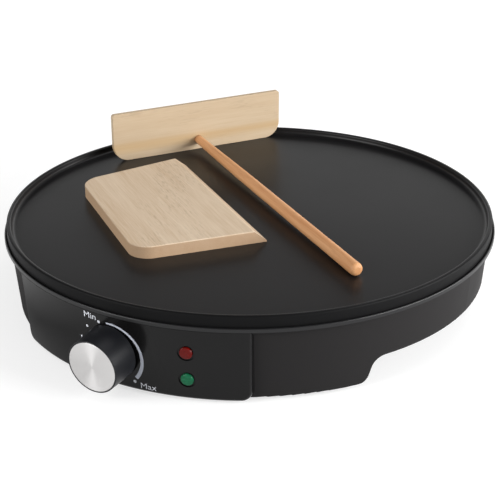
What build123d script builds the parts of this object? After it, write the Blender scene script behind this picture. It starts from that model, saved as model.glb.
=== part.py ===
"""Electric crepe maker with its wooden spreader and spatula.

The frame's origin lies on the table, on the axis of the round plate. +Z is up and the control panel faces -Y.
An azimuth is counted from the front, -Y, towards +X, in degrees. All lengths are in millimetres.
"""

import os
from math import asin, atan2, cos, degrees, hypot, radians, sin, sqrt, tan

from build123d import *

# ---------------------------------------------------------------- driving dimensions
# Cast plate: a flat disc with a low rounded lip.
PLATE_R = 186.0
PLATE_THICK = 4.0
LIP_TOP_Z = 67.5
LIP_HEIGHT = 5.5
LIP_WIDTH = 3.6
LIP_DRAFT = 0.2
LIP_ROUND = 1.6
LIP_FOOT_ROUND = 3.0
PLATE_EDGE_ROUND = 0.8

# Moulded housing.
SKIRT_Z = 2.0
WALL = 2.5
RIM_TOP_Z = 59.0
RIM_BAND = 3.1
RIM_REACH = 2.0
RIM_R = PLATE_R + RIM_REACH
RIM_GAP = 0.8
RIM_ROUND = 0.7
RIM_EDGE = 0.3
BAND_EDGE = 0.25
COVE_DEPTH = 3.85
WALL_DRAFT = 4.65
WALL_R_TOP = RIM_R - COVE_DEPTH
WALL_R_FOOT = WALL_R_TOP - WALL_DRAFT
COVE_R = 3.5
SEAT_GAP = 0.5
SKIRT_LIP = 6.0
SKIRT_ROUND = 2.4
FLOOR_Z = 22.0
FLOOR_THICK = 2.5
VENT_SIZE = (46.0, 4.0)
VENT_X = 50.0
VENT_PITCH = 12.0
VENT_ROWS = 6

# Cut-away sides, seen along X: a wide gap whose ends are the rounded ends of the two skirts.
GRIP_HALF_FOOT = 99.5
GRIP_HALF_TOP = 95.2
GRIP_TOE_ROUND = 8.5
GRIP_TOP_ROUND = 9.0
GRIP_RUNOUT = 14.0

# Control panel: a raised shell, pulled from its mould along Y.
PANEL_HALF_TOP = 95.2
PANEL_HALF_FOOT = 93.0
PANEL_PROUD = 4.9
PANEL_R_FOOT = WALL_R_FOOT + PANEL_PROUD
PANEL_SKIN = 2.5
PANEL_CORNER = 7.0
PANEL_ROUND = 2.6
PANEL_FIT = 0.2
PANEL_TOP_FIT = 0.05

# Knob, in a frame square to the panel: distances outwards from the panel's face.
KNOB_Z = 29.0
KNOB_GAP = 1.0
KNOB_FRONT = 23.0
KNOB_R_FRONT = 19.6
KNOB_R_REAR = 20.4
KNOB_WALL = 2.0
KNOB_FACE = 3.0
KNOB_EDGE = 0.4
DISC_R = 18.6
DISC_THICK = 1.2
DISC_SINK = 0.1
HUB_R = 6.5
SHAFT_R = 3.0
SHAFT_FLAT = 2.5
SHAFT_FIT = 0.05
SHAFT_TAIL = 3.0
SHAFT_END_GAP = 1.5

# Thermostat behind the panel.
STAT_PAD_DEPTH = 5.5
STAT_PAD_R = 17.5
STAT_SIDE = 36.0
STAT_DEPTH = 20.0
STAT_CORNER = 3.0
STAT_BUSH_R = 5.0
STAT_BUSH_FIT = 0.15
STAT_SCREW_X = 13.5
STAT_SCREW_SINK = 0.6
STAT_TAB_AT = 9.0
STAT_TAB_L = 8.0

# Lamps.
LAMP_AZ = 17.1
LAMP_RED_Z = 38.3
LAMP_GREEN_Z = 17.5
LENS_R = 4.5
LENS_HOLE_R = 4.7
LENS_DOME = 1.0
LENS_FLANGE_R = 5.8
LENS_FLANGE = 0.8
LAMP_RECESS_R = 6.0
LAMP_RECESS = 0.9
LAMP_BODY_R = 4.2
LAMP_BODY_L = 14.0
LAMP_PIN_L = 4.0
LAMP_NUT_R = 6.6
LAMP_NUT = 1.2

# Window in the wall and floor behind the panel, and the tray that closes it from below.
WINDOW_AZ = (-11.0, 22.0)
WINDOW_Z = (8.0, 48.0)
TRAY_FROM_WALL = (37.5, 4.3)
TRAY_R = (WALL_R_FOOT - TRAY_FROM_WALL[0], WALL_R_FOOT - TRAY_FROM_WALL[1])
WELL_FROM_TRAY = 3.0
WELL_R = TRAY_R[0] + WELL_FROM_TRAY
TRAY_AZ = (-14.0, 25.0)
TRAY_Z = 5.0
TRAY_SILL_Z = 9.5
TRAY_WALL = 1.5
TRAY_FLANGE = 9.0
TRAY_END_AZ = 4.5
COVER_SCREW_L = 7.0

# Stack under the plate, from the bottom up. The posts stand in a ring just outside the heating element.
ELEMENT_R_AT = 105.0
ELEMENT_R = 3.3
BOSS_R = 6.0
POST_FROM_ELEMENT = 5.7
POST_R_AT = ELEMENT_R_AT + ELEMENT_R + POST_FROM_ELEMENT + BOSS_R
POST_R = 8.0
POST_AZ = (45.0, 135.0, 225.0, 315.0)
SHIELD_Z = 43.0
SHIELD_THICK = 1.0
SHIELD_PAST_POST = 12.0
SHIELD_R = POST_R_AT + SHIELD_PAST_POST
SHIELD_RIM = 3.5
SCREW_M5_R = 2.45
SCREW_M5_HEAD_R = 4.4
SCREW_M5_HEAD = 3.0
SCREW_FIT = 0.1
WASHER_R = 5.2
WASHER_THICK = 1.0
POST_COUNTERBORE = 5.0

# Heating element: a tube bent to a ring, pressed against the plate.
ELEMENT_GAP_AZ = 14.0
ELEMENT_BEND = 10.0
ELEMENT_LEG = 16.0
ELEMENT_FIT = 0.05
INSULATOR_R = 4.4
INSULATOR_L = 8.0
TAB_W = 6.3
TAB_THICK = 0.8
TAB_L = 12.0
CLAMP_AZ = (62.0, 120.0, 240.0, 298.0)
CLAMP_REACH = 13.0
CLAMP_THICK = 1.5
CLAMP_W = 12.0
CLAMP_LUG_R = 4.0
SCREW_M4_R = 1.95
SCREW_M4_HEAD_R = 3.6
SCREW_M4_HEAD = 2.2

# Sensor under the plate.
BULB_R = 2.5
BULB_L = 62.0
BULB_X = 12.0
BULB_Y = -62.0
CAPILLARY_R = 0.8
CAPILLARY_BEND = 5.0
CAPILLARY_Z = 49.6
BULB_CLIP_X = 9.0
BULB_CLIP_Y = -30.0
BULB_CLIP_W = 8.0
BULB_CLIP_THICK = 1.0
BULB_LUG_R = 3.2
STAT_CAPILLARY_AT = 14.0
CAPILLARY_STUB = 8.0

# Earth tag under the plate.
TAG_REACH = 17.0
TAG_WIRE_HOLE = 5.0

# Mains inlet at the rear.
GLAND_Z = 38.0
GLAND_BORE_R = 3.7
GLAND_R = 6.8
GLAND_FIT = 0.2
GLAND_FLANGE_R = 9.5
GLAND_FLANGE = 3.0
GLAND_PAD_R = 12.0
GLAND_PAD_FROM_WALL = (9.15, 0.75)
GLAND_PAD_Y = (WALL_R_TOP - GLAND_PAD_FROM_WALL[0], WALL_R_TOP - GLAND_PAD_FROM_WALL[1])
GLAND_HOLE_L = 40.0
GLAND_TAIL = 7.0
GLAND_NUT_R = 10.0
GLAND_NUT = 4.0
BLOCK_SIZE = (30.0, 18.0, 12.0)
BLOCK_FROM_PAD = 45.0
BLOCK_Y = GLAND_PAD_Y[0] - BLOCK_FROM_PAD
BLOCK_SEAT = 2.0

# Feet.
FOOT_FROM_WALL = 21.5
FOOT_R_AT = WALL_R_FOOT - FOOT_FROM_WALL
FOOT_AZ = (45.0, 135.0, 225.0, 315.0)
FOOT_R = 9.0
FOOT_BOSS_R = 11.0
FOOT_SINK = 2.5
FOOT_FIT = 0.15
FOOT_ROUND = 0.8
FOOT_SCREW_L = 12.0

# Cut wooden tools lying on the plate.
BLADE_W = 155.4
BLADE_H = 42.0
BLADE_THICK = 4.0
BLADE_FOOT_ROUND = (14.0, 14.0)
BLADE_TOP_ROUND = 2.5
BLADE_EDGE = 0.5
BLADE_HEADING = 54.86
BLADE_FROM_EDGE = 36.84
BLADE_LIP_GAP = 0.84
HANDLE_OFF_MIDDLE = 0.2
HANDLE_ALONG = BLADE_W / 2 - HANDLE_OFF_MIDDLE
HANDLE_HEIGHT = 9.0
HANDLE_R_BLADE = 3.6
HANDLE_R_MIDDLE = 4.6
HANDLE_R_END = 5.0
HANDLE_TAPER = 90.0
HANDLE_REACH = 287.0
HANDLE_FIT = 0.03
TOOL_LIFT = 0.02

SPATULA_AT = (-111.6, 70.8)
SPATULA_HEADING = -36.65
SPATULA_THICK = 9.5
SPATULA_EDGE_FROM = 17.7
SPATULA_EDGE_TO = 187.6
SPATULA_BACK = ((35.6, 96.8), (180.2, 100.6))
SPATULA_ROUND = (19.0, 16.0)
SPATULA_BEVEL = 10.2
SPATULA_EDGE_THICK = 1.0
SPATULA_SOFTEN = 0.8

WIRE_R = 1.1
WIRE_BEND = 4.0
WIRE_RISE = 14.0
WIRE_FROM_POST = 4.85
WIRE_LANE_X = POST_R_AT * sin(radians(POST_AZ[0])) - POST_R - WIRE_FROM_POST
WIRE_TURN = 46.0

# ---------------------------------------------------------------- worked-out levels
PLATE_Z = LIP_TOP_Z - LIP_HEIGHT
PLATE_UNDER_Z = PLATE_Z - PLATE_THICK
SEAT_Z = PLATE_UNDER_Z - SEAT_GAP
COVE_Z = RIM_TOP_Z - RIM_BAND
FLOOR_TOP_Z = FLOOR_Z + FLOOR_THICK
SHIELD_TOP_Z = SHIELD_Z + SHIELD_THICK
ELEMENT_Z = PLATE_UNDER_Z - ELEMENT_FIT - ELEMENT_R
CLAMP_TOP_Z = ELEMENT_Z - ELEMENT_R - ELEMENT_FIT
LUG_L = PLATE_UNDER_Z - CLAMP_TOP_Z
PANEL_TOP_Z = COVE_Z - PANEL_TOP_FIT
BULB_Z = PLATE_UNDER_Z - ELEMENT_FIT - BULB_R
BULB_CLIP_Z = BULB_Z - BULB_R - ELEMENT_FIT
KNOB_LENGTH = KNOB_FRONT - KNOB_GAP
PAST = 1.0


def wall_r(z):
    """Radius of the housing wall's outer face at height z."""
    return WALL_R_FOOT + (WALL_R_TOP - WALL_R_FOOT) * (z - SKIRT_Z) / (COVE_Z - SKIRT_Z)


def panel_r(z):
    """Radius of the control panel's outer face at height z: flush with the rim at its top."""
    return PANEL_R_FOOT + (RIM_R - PANEL_R_FOOT) * (z - SKIRT_Z) / (PANEL_TOP_Z - SKIRT_Z)


PANEL_TILT = atan2(RIM_R - PANEL_R_FOOT, PANEL_TOP_Z - SKIRT_Z)


def at(radius, azimuth, z=0.0):
    """Point at a radius and an azimuth from the front."""
    a = radians(azimuth)
    return (radius * sin(a), -radius * cos(a), z)


def face_plane(azimuth, z):
    """Plane that touches the panel's outer face, z pointing out of it and y up."""
    a, t = radians(azimuth), PANEL_TILT
    outwards = (sin(a) * cos(t), -cos(a) * cos(t), -sin(t))
    return Plane(origin=at(panel_r(z), azimuth, z), x_dir=(cos(a), sin(a), 0), z_dir=outwards)


DIAL = face_plane(0.0, KNOB_Z)


def section(*corners):
    """Closed face in the XZ plane from corners (radius, height, rounding)."""
    points = [(x, 0, z) for x, z, _ in corners]
    return make_face(FilletPolyline(*points, radius=[r for _, _, r in corners], close=True))


def turned(*corners):
    """Solid of revolution of a section."""
    return revolve(section(*corners), Axis.Z)


def sector(r_in, r_out, z_low, z_high, az_from=-180.0, az_to=180.0):
    """Part of a flat ring between two azimuths."""
    face = section((r_in, z_low, 0), (r_out, z_low, 0), (r_out, z_high, 0), (r_in, z_high, 0))
    return Rot(0, 0, az_from - 90) * revolve(face, Axis.Z, revolution_arc=az_to - az_from)


def rod(radius, z_low, z_high):
    """Upright cylinder between two heights."""
    return Pos(0, 0, (z_low + z_high) / 2) * Cylinder(radius, z_high - z_low)


def block(x, y, z):
    """Box given by its three spans."""
    middle = [(a + b) / 2 for a, b in (x, y, z)]
    return Pos(*middle) * Box(x[1] - x[0], y[1] - y[0], z[1] - z[0])


def screw_up(shank_r, shank_l, head_r, head_h):
    """Slotted screw pointing up, its head under z = 0."""
    head = fillet(rod(head_r, -head_h, 0).edges().sort_by(Axis.Z)[0], head_h / 3)
    slot = block((-head_r, head_r), (-0.5, 0.5), (-head_h - PAST, -head_h * 0.6))
    return head - slot + rod(shank_r, 0, shank_l)


def tube(radius, bend, *points):
    """Round tube along straight runs joined by arcs."""
    path = FilletPolyline(*points, radius=bend) if len(points) > 2 else Polyline(*points)
    start = Plane(origin=path @ 0, z_dir=path % 0)
    return sweep(start * Circle(radius), path=path)


# ---------------------------------------------------------------- plate and what hangs on it
def hot_plate():
    inner = PLATE_R - LIP_WIDTH
    plate = turned(
        (0, PLATE_UNDER_Z, 0),
        (PLATE_R, PLATE_UNDER_Z, PLATE_EDGE_ROUND),
        (PLATE_R, LIP_TOP_Z, LIP_ROUND),
        (inner, LIP_TOP_Z, LIP_ROUND),
        (inner - LIP_DRAFT, PLATE_Z, LIP_FOOT_ROUND),
        (0, PLATE_Z, 0),
    )
    for azimuth in POST_AZ:
        plate += Pos(*at(POST_R_AT, azimuth)) * rod(BOSS_R, SHIELD_TOP_Z, PLATE_UNDER_Z)
        hole = rod(SCREW_M5_R + SCREW_FIT, SHIELD_TOP_Z - PAST, PLATE_UNDER_Z)
        plate -= Pos(*at(POST_R_AT, azimuth)) * hole
    for place in clamp_lugs():
        plate += Pos(*place) * rod(CLAMP_LUG_R, CLAMP_TOP_Z, PLATE_UNDER_Z)
        plate -= Pos(*place) * rod(SCREW_M4_R + SCREW_FIT, CLAMP_TOP_Z - PAST, PLATE_UNDER_Z)
    for place in bulb_lugs():
        plate += Pos(*place) * rod(BULB_LUG_R, BULB_CLIP_Z, PLATE_UNDER_Z)
        plate -= Pos(*place) * rod(SCREW_M4_R + SCREW_FIT, BULB_CLIP_Z - PAST, PLATE_UNDER_Z)
    return plate


def clamp_lugs():
    """Places of the cast lugs on both sides of the element, two for each clamp, and one for the earth tag."""
    for azimuth in CLAMP_AZ:
        yield at(ELEMENT_R_AT - CLAMP_REACH, azimuth)
        yield at(ELEMENT_R_AT + CLAMP_REACH, azimuth)
    yield earth_place()


def earth_place():
    return at(ELEMENT_R_AT - 3 * CLAMP_REACH, CLAMP_AZ[2])


def bulb_lugs():
    """Places of the two lugs beside the sensor bulb."""
    for side in (-1, 1):
        yield (BULB_X + side * BULB_CLIP_X, BULB_CLIP_Y, 0)


def heating_element():
    end_az = 180 - ELEMENT_GAP_AZ
    right_end, left_end = Vector(*at(ELEMENT_R_AT, end_az)), Vector(*at(ELEMENT_R_AT, -end_az))
    ring = CenterArc((0, 0), ELEMENT_R_AT, -end_az - 90, 2 * end_az)
    legs = []
    for end, azimuth, turn in ((left_end, -end_az, 1), (right_end, end_az, -1)):
        out = Vector(*at(1, azimuth))
        along = Vector(-turn * cos(radians(azimuth)), -turn * sin(radians(azimuth)), 0)
        corner = end + along * ELEMENT_BEND - out * ELEMENT_BEND
        legs.append((end, along, corner, corner - out * ELEMENT_LEG))
    edges = [ring]
    for end, along, corner, tip in legs:
        edges += [TangentArc(end, corner, tangent=along), Line(corner, tip)]
    path = Wire(edges)
    start = Plane(origin=path @ 0, z_dir=path % 0)
    return Pos(0, 0, ELEMENT_Z) * sweep(start * Circle(ELEMENT_R), path=path)


def element_leg_tips():
    """Inner end of each leg, with the direction in which it leaves."""
    for turn in (1, -1):
        azimuth = -turn * (180 - ELEMENT_GAP_AZ)
        out = Vector(*at(1, azimuth))
        along = Vector(-turn * cos(radians(azimuth)), -turn * sin(radians(azimuth)), 0)
        end = Vector(*at(ELEMENT_R_AT, azimuth))
        yield end + (along - out) * ELEMENT_BEND - out * ELEMENT_LEG + Vector(0, 0, ELEMENT_Z), -out


def element_insulators():
    return [
        Plane(origin=tip, z_dir=inwards) * rod(INSULATOR_R * 0.7, 0, INSULATOR_L)
        for tip, inwards in element_leg_tips()
    ]


def element_tabs():
    tabs = []
    for tip, inwards in element_leg_tips():
        plane = Plane(origin=tip + inwards * INSULATOR_L, x_dir=(0, 0, 1), z_dir=inwards)
        tab = block((-TAB_THICK / 2, TAB_THICK / 2), (-TAB_W / 2, TAB_W / 2), (0, TAB_L))
        hole = Pos(0, 0, TAB_L * 0.7) * Rot(0, 90, 0) * Cylinder(1.0, 2 * TAB_THICK)
        tabs.append(plane * (tab - hole))
    return tabs


def element_clamps():
    clamps = []
    for azimuth in CLAMP_AZ:
        reach = CLAMP_REACH + CLAMP_LUG_R + 1
        strap = block((-CLAMP_W / 2, CLAMP_W / 2), (-reach, reach), (-CLAMP_THICK, 0))
        strap = fillet(strap.edges().filter_by(Axis.Z), CLAMP_W / 3)
        for side in (-1, 1):
            strap -= Pos(0, side * CLAMP_REACH, 0) * Cylinder(SCREW_M4_R + SCREW_FIT, 3 * CLAMP_THICK)
        clamps.append(Pos(*at(ELEMENT_R_AT, azimuth, CLAMP_TOP_Z)) * Rot(0, 0, azimuth) * strap)
    return clamps


def bulb_clip():
    reach = BULB_CLIP_X + BULB_LUG_R
    clip = block((-reach, reach), (-BULB_CLIP_W / 2, BULB_CLIP_W / 2), (-BULB_CLIP_THICK, 0))
    for side in (-1, 1):
        clip -= Pos(side * BULB_CLIP_X, 0, 0) * Cylinder(SCREW_M4_R + SCREW_FIT, 3 * BULB_CLIP_THICK)
    return Pos(BULB_X, BULB_CLIP_Y, BULB_CLIP_Z) * clip


def earth_tag():
    x, y, _ = earth_place()
    ring = Cylinder(CLAMP_LUG_R + 0.5, TAB_THICK)
    ring += block((-TAG_REACH, -CLAMP_LUG_R / 2), (-TAB_W / 2, TAB_W / 2), (-TAB_THICK / 2, TAB_THICK / 2))
    ring -= Cylinder(SCREW_M4_R + SCREW_FIT, 3 * TAB_THICK)
    return Pos(x, y, CLAMP_TOP_Z - TAB_THICK / 2) * ring


def clamp_screws():
    """Screws of the element clamps, the bulb clip and the earth tag."""
    screws = []
    *lugs, tag = clamp_lugs()
    seats = [(place, CLAMP_TOP_Z - CLAMP_THICK) for place in lugs]
    seats += [(tag, CLAMP_TOP_Z - TAB_THICK)]
    seats += [(place, BULB_CLIP_Z - BULB_CLIP_THICK) for place in bulb_lugs()]
    for (x, y, _), seat in seats:
        length = PLATE_UNDER_Z - seat - PAST
        screw = screw_up(SCREW_M4_R, length, SCREW_M4_HEAD_R, SCREW_M4_HEAD)
        screws.append(Pos(x, y, seat) * screw)
    return screws


def heat_shield():
    rim = SHIELD_TOP_Z + SHIELD_RIM
    pan = turned(
        (0, SHIELD_Z, 0),
        (SHIELD_R, SHIELD_Z, 2 * SHIELD_THICK),
        (SHIELD_R, rim, 0),
        (SHIELD_R - SHIELD_THICK, rim, 0),
        (SHIELD_R - SHIELD_THICK, SHIELD_TOP_Z, SHIELD_THICK),
        (0, SHIELD_TOP_Z, 0),
    )
    for azimuth in POST_AZ:
        pan -= Pos(*at(POST_R_AT, azimuth, SHIELD_Z)) * Cylinder(SCREW_M5_R + 4 * SCREW_FIT, 4)
    for x, y in wire_holes():
        pan -= Pos(x, y, SHIELD_Z) * Cylinder(WIRE_HOLE_R, 4)
    return pan


WIRE_HOLE_R = 4.0


def wire_holes():
    """Places of the holes that let the element's and the earth's wires through the shield."""
    for tip, inwards in element_leg_tips():
        hole = tip + inwards * (INSULATOR_L + TAB_L + 3 * WIRE_BEND)
        yield hole.X, hole.Y
    x, y, _ = earth_place()
    yield x - TAG_REACH - TAG_WIRE_HOLE, y


def plate_screws():
    seat = FLOOR_Z + POST_COUNTERBORE - WASHER_THICK
    length = PLATE_UNDER_Z - PAST - seat
    screw = screw_up(SCREW_M5_R, length, SCREW_M5_HEAD_R, SCREW_M5_HEAD)
    return [Pos(*at(POST_R_AT, azimuth, seat)) * screw for azimuth in POST_AZ]


def plate_washers():
    seat = FLOOR_Z + POST_COUNTERBORE
    ring = rod(WASHER_R, seat - WASHER_THICK, seat) - rod(SCREW_M5_R + SCREW_FIT, FLOOR_Z, seat + PAST)
    return [Pos(*at(POST_R_AT, azimuth)) * ring for azimuth in POST_AZ]


# ---------------------------------------------------------------- housing
def base_housing():
    outer_seat = PLATE_R + RIM_GAP
    inner_top = wall_r(SEAT_Z) - WALL
    inner_foot = wall_r(SKIRT_Z + WALL) - WALL
    shell = turned(
        (wall_r(SKIRT_Z), SKIRT_Z, SKIRT_ROUND),
        (wall_r(COVE_Z), COVE_Z, COVE_R),
        (RIM_R, COVE_Z, BAND_EDGE),
        (RIM_R, RIM_TOP_Z, RIM_ROUND),
        (outer_seat, RIM_TOP_Z, RIM_EDGE),
        (outer_seat, SEAT_Z, 0),
        (inner_top, SEAT_Z, 0),
        (inner_foot, SKIRT_Z + WALL, 0),
        (inner_foot - SKIRT_LIP, SKIRT_Z + WALL, 0),
        (inner_foot - SKIRT_LIP, SKIRT_Z, 0),
    )
    shell -= side_grips()
    shell += rod(wall_r(FLOOR_Z) - WALL / 2, FLOOR_Z, FLOOR_TOP_Z)
    for azimuth in POST_AZ:
        shell += Pos(*at(POST_R_AT, azimuth)) * rod(POST_R, FLOOR_Z, SHIELD_Z)
    for azimuth in FOOT_AZ:
        shell += Pos(*at(FOOT_R_AT, azimuth)) * rod(FOOT_BOSS_R, SKIRT_Z, FLOOR_Z)
    for place in cover_screw_places():
        shell += Pos(*place) * rod(2 * SCREW_M4_R, FLOOR_Z, FLOOR_Z + COVER_SCREW_L + PAST / 2)
    shell += gland_boss()
    shell += block_seat()
    return shell - housing_cuts()


def side_grips():
    """The gap between the two skirts, with the skirts' rounded ends, cut through along X."""
    foot, top = GRIP_HALF_FOOT, GRIP_HALF_TOP
    low = SKIRT_Z - PAST
    points = [
        (-foot - GRIP_RUNOUT, low, 0),
        (-foot - GRIP_RUNOUT, SKIRT_Z, 0),
        (-foot, SKIRT_Z, GRIP_TOE_ROUND),
        (-top, FLOOR_Z, GRIP_TOP_ROUND),
        (top, FLOOR_Z, GRIP_TOP_ROUND),
        (foot, SKIRT_Z, GRIP_TOE_ROUND),
        (foot + GRIP_RUNOUT, SKIRT_Z, 0),
        (foot + GRIP_RUNOUT, low, 0),
    ]
    outline = FilletPolyline(
        *[(0, y, z) for y, z, _ in points], radius=[r for _, _, r in points], close=True
    )
    return extrude(make_face(outline), RIM_R + PAST, dir=(1, 0, 0), both=True)


def gland_boss():
    low, high = GLAND_PAD_Y
    pad = Rot(-90, 0, 0) * Cylinder(GLAND_PAD_R, high - low)
    return Pos(0, (low + high) / 2, GLAND_Z) * pad


def block_seat():
    x, y, _ = BLOCK_SIZE
    return block(
        (-x / 2, x / 2), (BLOCK_Y - y / 2, BLOCK_Y + y / 2), (FLOOR_Z, FLOOR_TOP_Z + BLOCK_SEAT)
    )


def housing_cuts():
    cuts = sector(WELL_R, wall_r(FLOOR_Z), FLOOR_Z - PAST, FLOOR_TOP_Z + PAST, *WINDOW_AZ)
    cuts += sector(wall_r(SKIRT_Z) - 2 * WALL, RIM_R + PAST, *WINDOW_Z, *WINDOW_AZ)
    for azimuth in POST_AZ:
        hole = rod(SCREW_M5_R + 3 * SCREW_FIT, FLOOR_Z - PAST, SHIELD_Z + PAST)
        hole += rod(WASHER_R + SCREW_FIT, FLOOR_Z - PAST, FLOOR_Z + POST_COUNTERBORE)
        cuts += Pos(*at(POST_R_AT, azimuth)) * hole
    for azimuth in FOOT_AZ:
        hole = rod(FOOT_R + FOOT_FIT, SKIRT_Z - PAST, SKIRT_Z + FOOT_SINK)
        hole += rod(SCREW_M4_R + SCREW_FIT, SKIRT_Z, FLOOR_Z)
        cuts += Pos(*at(FOOT_R_AT, azimuth)) * hole
    for place in cover_screw_places():
        cuts += Pos(*place) * rod(SCREW_M4_R + SCREW_FIT, FLOOR_Z - PAST, FLOOR_Z + COVER_SCREW_L - PAST)
    for plane in panel_screw_planes():
        cuts += plane * rod(SCREW_M4_R + SCREW_FIT, -20, 20)
    cuts += Pos(0, GLAND_PAD_Y[1], GLAND_Z) * Rot(-90, 0, 0) * Cylinder(GLAND_R + GLAND_FIT, GLAND_HOLE_L)
    cuts += floor_vents()
    return cuts


def floor_vents():
    """Two rows of cooling slots through the floor."""
    vents = Part()
    for side in (-1, 1):
        for row in range(VENT_ROWS):
            slot = SlotOverall(*VENT_SIZE)
            place = Pos(side * VENT_X, (row - (VENT_ROWS - 1) / 2) * VENT_PITCH, FLOOR_Z - PAST)
            vents += place * extrude(slot, FLOOR_THICK + 2 * PAST)
    return vents


# ---------------------------------------------------------------- control panel
def panel_body(inset, r_in, r_out, z_low, z_high):
    """Solid between two tapered faces, cut to the panel's outline less an inset on each side."""
    ring = turned(
        (r_in(z_low), z_low, 0),
        (r_out(z_low), z_low, 0),
        (r_out(z_high), z_high, 0),
        (r_in(z_high), z_high, 0),
    )
    foot, top, corner = PANEL_HALF_FOOT - inset, PANEL_HALF_TOP - inset, max(PANEL_CORNER - inset, 1.0)
    outline = FilletPolyline(
        (-foot, 0, SKIRT_Z + inset),
        (foot, 0, SKIRT_Z + inset),
        (top, 0, COVE_Z),
        (-top, 0, COVE_Z),
        radius=[corner, corner, 0, 0],
        close=True,
    )
    return ring & extrude(make_face(outline), RIM_R + PAST, dir=(0, -1, 0))


def on_panel_face(edge):
    """Whether an edge bounds the panel's outer face at its sides or its foot."""
    middle = edge @ 0.5
    outside = abs(hypot(middle.X, middle.Y) - panel_r(middle.Z)) < 0.01
    return outside and middle.Z < PANEL_TOP_Z - PAST


def control_panel():
    shell = panel_body(0, lambda z: wall_r(z) + PANEL_FIT, panel_r, SKIRT_Z, PANEL_TOP_Z)
    shell = fillet(shell.edges().filter_by(on_panel_face), PANEL_ROUND)
    under_cove = PANEL_TOP_Z - COVE_R
    shell -= turned(
        (wall_r(under_cove), under_cove - PAST, 0),
        (wall_r(under_cove) + PANEL_FIT, under_cove - PAST, 0),
        (wall_r(under_cove) + PANEL_FIT, under_cove, 0),
        (wall_r(COVE_Z) + COVE_R + PANEL_FIT, PANEL_TOP_Z, 0),
        (wall_r(COVE_Z) + COVE_R, PANEL_TOP_Z + PAST, 0),
        (wall_r(under_cove), PANEL_TOP_Z + PAST, 0),
    )
    shell -= panel_body(
        PANEL_SKIN,
        lambda z: wall_r(z) - PAST,
        lambda z: panel_r(z) - PANEL_SKIN,
        SKIRT_Z + PANEL_SKIN,
        PANEL_TOP_Z - COVE_R - PANEL_SKIN / 2,
    )
    pad = rod(STAT_PAD_R, -STAT_PAD_DEPTH, -PANEL_SKIN / 2)
    pad -= rod(STAT_BUSH_R + STAT_BUSH_FIT, -STAT_PAD_DEPTH - PAST, -PANEL_SKIN)
    shell += DIAL * pad
    for plane in panel_screw_planes():
        boss = plane * rod(2 * SCREW_M4_R, 0, 2 * WALL)
        shell += boss & panel_body(
            0, lambda z: wall_r(z) + PANEL_FIT, lambda z: panel_r(z) - PAST, SKIRT_Z, PANEL_TOP_Z - COVE_R
        )
    shell -= DIAL * rod(SHAFT_R + 3 * SHAFT_FIT, -STAT_PAD_DEPTH - PAST, PAST)
    for side in (-1, 1):
        hole = rod(SCREW_M4_R + SCREW_FIT, -STAT_PAD_DEPTH - PAST, PAST)
        hole += rod(SCREW_M4_HEAD_R + SCREW_FIT, 0, PAST)
        hole += Pos(0, 0, -SCREW_M4_HEAD / 2) * Cone(
            SCREW_M4_R + SCREW_FIT, SCREW_M4_HEAD_R + SCREW_FIT, SCREW_M4_HEAD
        )
        shell -= DIAL * Pos(side * STAT_SCREW_X, 0, -STAT_SCREW_SINK) * hole
    for z in (LAMP_RED_Z, LAMP_GREEN_Z):
        hole = rod(LENS_HOLE_R, -2 * PANEL_SKIN, PAST) + rod(LAMP_RECESS_R, -LAMP_RECESS, PAST)
        shell -= face_plane(LAMP_AZ, z) * hole
    for plane in panel_screw_planes():
        shell -= plane * rod(SCREW_M4_R + SCREW_FIT, -PAST, PANEL_SCREW_L + PAST / 2)
    return shell


PANEL_SCREW_AZ = 26.5
PANEL_SCREW_Z = (10.5, 44.0)
PANEL_SCREW_L = 5.5


def panel_screw_planes():
    """Plane at each screw of the panel, on the wall's inner face and pointing out."""
    for azimuth in (-PANEL_SCREW_AZ, PANEL_SCREW_AZ):
        for z in PANEL_SCREW_Z:
            a = radians(azimuth)
            yield Plane(origin=at(wall_r(z) - WALL, azimuth, z), x_dir=(0, 0, 1), z_dir=(sin(a), -cos(a), 0))


def panel_screws():
    """Screws driven outwards from inside the housing, each under a thick washer head."""
    screw = screw_up(SCREW_M4_R, PANEL_SCREW_L, SCREW_M4_HEAD_R, SCREW_M4_HEAD)
    return [plane * Pos(0, 0, -4 * SCREW_FIT) * screw for plane in panel_screw_planes()]


# ---------------------------------------------------------------- knob and thermostat
def d_shape(radius, flat, low, high):
    """Cylinder with one side cut flat."""
    cut = block((-2 * radius, 2 * radius), (flat, 2 * radius), (low - PAST, high + PAST))
    return rod(radius, low, high) - cut


def knob():
    face_back = KNOB_FRONT - KNOB_FACE
    inner = KNOB_R_REAR - KNOB_WALL
    body = turned(
        (0, KNOB_GAP, 0),
        (KNOB_R_REAR, KNOB_GAP, KNOB_EDGE),
        (KNOB_R_FRONT, KNOB_FRONT, KNOB_EDGE),
        (DISC_R + SCREW_FIT, KNOB_FRONT, 0),
        (DISC_R + SCREW_FIT, KNOB_FRONT - DISC_THICK - DISC_SINK, 0),
        (0, KNOB_FRONT - DISC_THICK - DISC_SINK, 0),
    )
    hollow = turned(
        (HUB_R, KNOB_GAP - PAST, 0),
        (inner, KNOB_GAP - PAST, 0),
        (inner - (KNOB_R_REAR - KNOB_R_FRONT), face_back, PAST),
        (HUB_R, face_back, PAST),
    )
    body -= hollow
    body -= rod(HUB_R + PAST, KNOB_GAP - PAST, KNOB_GAP + 2)
    bore = d_shape(SHAFT_R + SHAFT_FIT, SHAFT_FLAT + SHAFT_FIT, KNOB_GAP - PAST, shaft_end() + SHAFT_END_GAP)
    return DIAL * (body - bore)


def shaft_end():
    return KNOB_FRONT - KNOB_FACE - SHAFT_END_GAP - PAST


def knob_disc():
    front = KNOB_FRONT - DISC_SINK
    return DIAL * turned(
        (0, front - DISC_THICK, 0),
        (DISC_R, front - DISC_THICK, 0),
        (DISC_R, front, KNOB_EDGE / 2),
        (0, front, 0),
    )


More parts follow.
